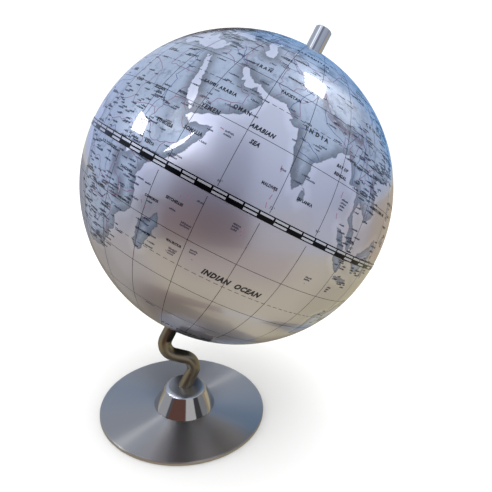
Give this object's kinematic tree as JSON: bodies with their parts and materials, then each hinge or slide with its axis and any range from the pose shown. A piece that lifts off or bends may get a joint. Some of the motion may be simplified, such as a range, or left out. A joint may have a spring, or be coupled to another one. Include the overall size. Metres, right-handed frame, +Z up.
{
  "type": "tilted desk globe",
  "caption": "Desk globe that turns on a tilted axle, carried by a bent rod on a cone hub and a round steel base.",
  "frame": {"origin": "centre of the base's underside, on the surface it stands on", "axes": "+Z up, +X the way the axle leans; the axle and the bent rod lie in the plane Y = 0"},
  "size_m": [0.25, 0.2504, 0.344],
  "materials": {
    "brushed_steel": "circular brushed stainless steel",
    "polished_steel": "turned and polished stainless steel",
    "satin_steel": "polished drawn stainless steel bar",
    "zinc_steel": "zinc-plated",
    "nylon": "moulded nylon",
    "shell_plastic": "moulded plastic shell",
    "printed_sheet": "metallic silver print under gloss varnish",
    "printed_tape": "gloss printed tape",
    "felt": "black needle felt"
  },
  "bodies": {
    "stand": {"base_plate": "brushed_steel", "base_pad": "felt", "hub": "polished_steel", "hub_screws": "zinc_steel", "hub_grub_screw": "zinc_steel", "crank_arm": "satin_steel", "axle": "satin_steel", "lower_thrust_washer": "nylon", "upper_thrust_washer": "nylon", "spring_washer": "zinc_steel", "finial": "polished_steel"},
    "globe": {"north_hemisphere": "shell_plastic", "south_hemisphere": "shell_plastic", "north_map_sheet": "printed_sheet", "south_map_sheet": "printed_sheet", "equator_tape": "printed_tape", "coupling_ring": "shell_plastic", "north_bush": "nylon", "south_bush": "nylon", "north_bush_clip": "zinc_steel", "south_bush_clip": "zinc_steel"}
  },
  "joints": [
    {"name": "globe_spin", "type": "hinge", "parent": "stand", "child": "globe", "pos_m": [0.03823, 0, 0.20561], "axis": [0.3987, 0, 0.9171], "continuous": true}
  ]
}
